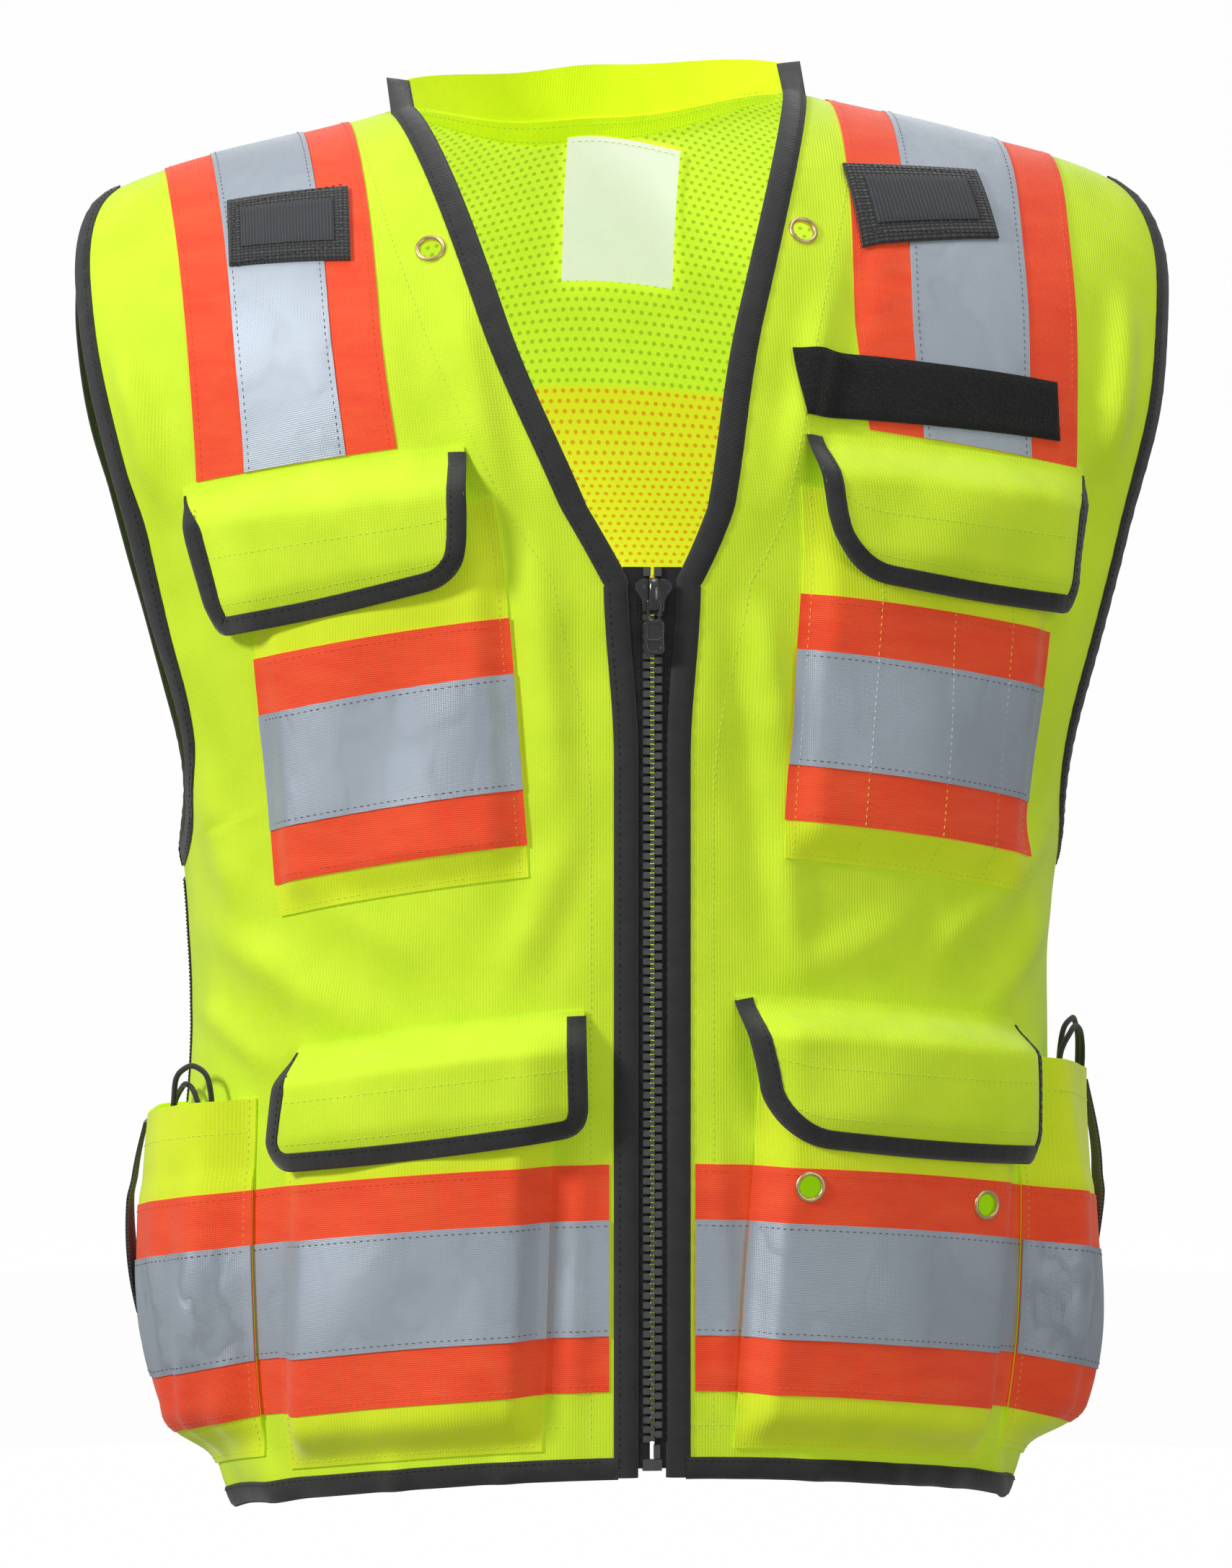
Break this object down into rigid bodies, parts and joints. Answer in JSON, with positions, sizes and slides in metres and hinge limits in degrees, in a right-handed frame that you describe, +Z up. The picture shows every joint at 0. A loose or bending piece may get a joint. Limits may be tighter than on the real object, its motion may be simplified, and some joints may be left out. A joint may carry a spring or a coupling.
{
  "type": "high visibility vest",
  "caption": "Fluorescent surveyor's vest with a mesh back, a front zipper, flap pockets, open side pockets, tabs, grommets and two-tone reflective tape.",
  "frame": {"origin": "level with the points where the shoulder seams meet the neck, above the front zipper and midway between chest and back", "axes": "+Z up, the front faces -Y, the wearer's right is -X"},
  "size_m": [0.5052, 0.2821, 0.6765],
  "materials": {
    "lime_fabric": "fluorescent yellow-green knitted polyester, matt",
    "mesh_fabric": "fluorescent yellow-green polyester mesh, matt",
    "orange_tape": "fluorescent orange-red woven polyester",
    "silver_tape": "glass bead retroreflective tape, satin grey",
    "black_binding": "black woven bias binding",
    "zipper_tape": "black woven zipper tape",
    "zipper_plastic": "black moulded acetal",
    "webbing": "black polyester webbing and grosgrain",
    "black_loop": "black loop pile",
    "lime_hook_loop": "yellow-green hook and loop tape",
    "brass": "polished brass plate",
    "label": "white satin label",
    "elastic_cord": "black braided elastic cord"
  },
  "bodies": {
    "vest": {"back_panel": "mesh_fabric", "front_panel_right": "lime_fabric", "front_panel_left": "lime_fabric", "neck_collar": "lime_fabric", "neck_facing": "lime_fabric", "front_binding_right": "black_binding", "front_binding_left": "black_binding", "armhole_binding_right": "black_binding", "armhole_binding_left": "black_binding", "hem_binding": "black_binding", "zipper_tape_right": "zipper_tape", "zipper_tape_left": "zipper_tape", "zipper_teeth_right": "zipper_plastic", "zipper_teeth_left": "zipper_plastic", "zipper_top_stops": "zipper_plastic", "zipper_insertion_pin": "zipper_plastic", "zipper_retainer_box": "zipper_plastic", "shoulder_tape_orange": "orange_tape", "shoulder_tape_silver": "silver_tape", "waist_tape_orange": "orange_tape", "waist_tape_silver": "silver_tape", "back_tape_orange": "orange_tape", "back_tape_silver": "silver_tape", "chest_pocket_right": "lime_fabric", "chest_pocket_left": "lime_fabric", "chest_tape_orange": "orange_tape", "chest_tape_silver": "silver_tape", "lower_pocket_right": "lime_fabric", "lower_pocket_left": "lime_fabric", "lower_tape_orange": "orange_tape", "lower_tape_silver": "silver_tape", "side_pocket_right": "lime_fabric", "side_pocket_left": "lime_fabric", "side_tape_orange": "orange_tape", "side_tape_silver": "silver_tape", "pocket_loop_strips": "lime_hook_loop", "mic_tab_webbing": "webbing", "mic_tab_ribbon": "webbing", "id_loop_strip": "black_loop", "chest_grommets": "brass", "pocket_grommets": "brass", "care_label": "label", "side_zipper": "zipper_tape", "elastic_cord_right": "elastic_cord", "elastic_cord_left": "elastic_cord", "side_straps": "webbing"},
    "slider": {"zipper_slider": "zipper_plastic"},
    "pull": {"zipper_pull": "zipper_plastic"},
    "chest_flap_right": {"chest_flap_right": "lime_fabric", "chest_flap_binding_right": "black_binding", "chest_flap_hook_right": "lime_hook_loop"},
    "chest_flap_left": {"chest_flap_left": "lime_fabric", "chest_flap_binding_left": "black_binding", "chest_flap_hook_left": "lime_hook_loop"},
    "lower_flap_right": {"lower_flap_right": "lime_fabric", "lower_flap_binding_right": "black_binding", "lower_flap_hook_right": "lime_hook_loop"},
    "lower_flap_left": {"lower_flap_left": "lime_fabric", "lower_flap_binding_left": "black_binding", "lower_flap_hook_left": "lime_hook_loop"}
  },
  "joints": [
    {"name": "slider_travel", "type": "slide", "parent": "vest", "child": "slider", "axis": [0, 0, -1], "range_m": [0, 0.37]},
    {"name": "pull_swing", "type": "hinge", "parent": "slider", "child": "pull", "pos_m": [0, -0.1361, -0.232], "axis": [-1, 0, 0], "range_deg": [0, 140]},
    {"name": "chest_flap_right_lift", "type": "hinge", "parent": "vest", "child": "chest_flap_right", "pos_m": [-0.14359, -0.10672, -0.17096], "axis": [-0.9236, 0.3605, -0.1303], "range_deg": [0, 120]},
    {"name": "chest_flap_left_lift", "type": "hinge", "parent": "vest", "child": "chest_flap_left", "pos_m": [0.13697, -0.10615, -0.16289], "axis": [-0.9424, -0.3104, 0.1246], "range_deg": [0, 120]},
    {"name": "lower_flap_right_lift", "type": "hinge", "parent": "vest", "child": "lower_flap_right", "pos_m": [-0.09619, -0.11679, -0.41626], "axis": [-0.9414, 0.3265, -0.0852], "range_deg": [0, 120]},
    {"name": "lower_flap_left_lift", "type": "hinge", "parent": "vest", "child": "lower_flap_left", "pos_m": [0.1085, -0.11219, -0.41044], "axis": [-0.9248, -0.3683, 0.095], "range_deg": [0, 120]}
  ]
}
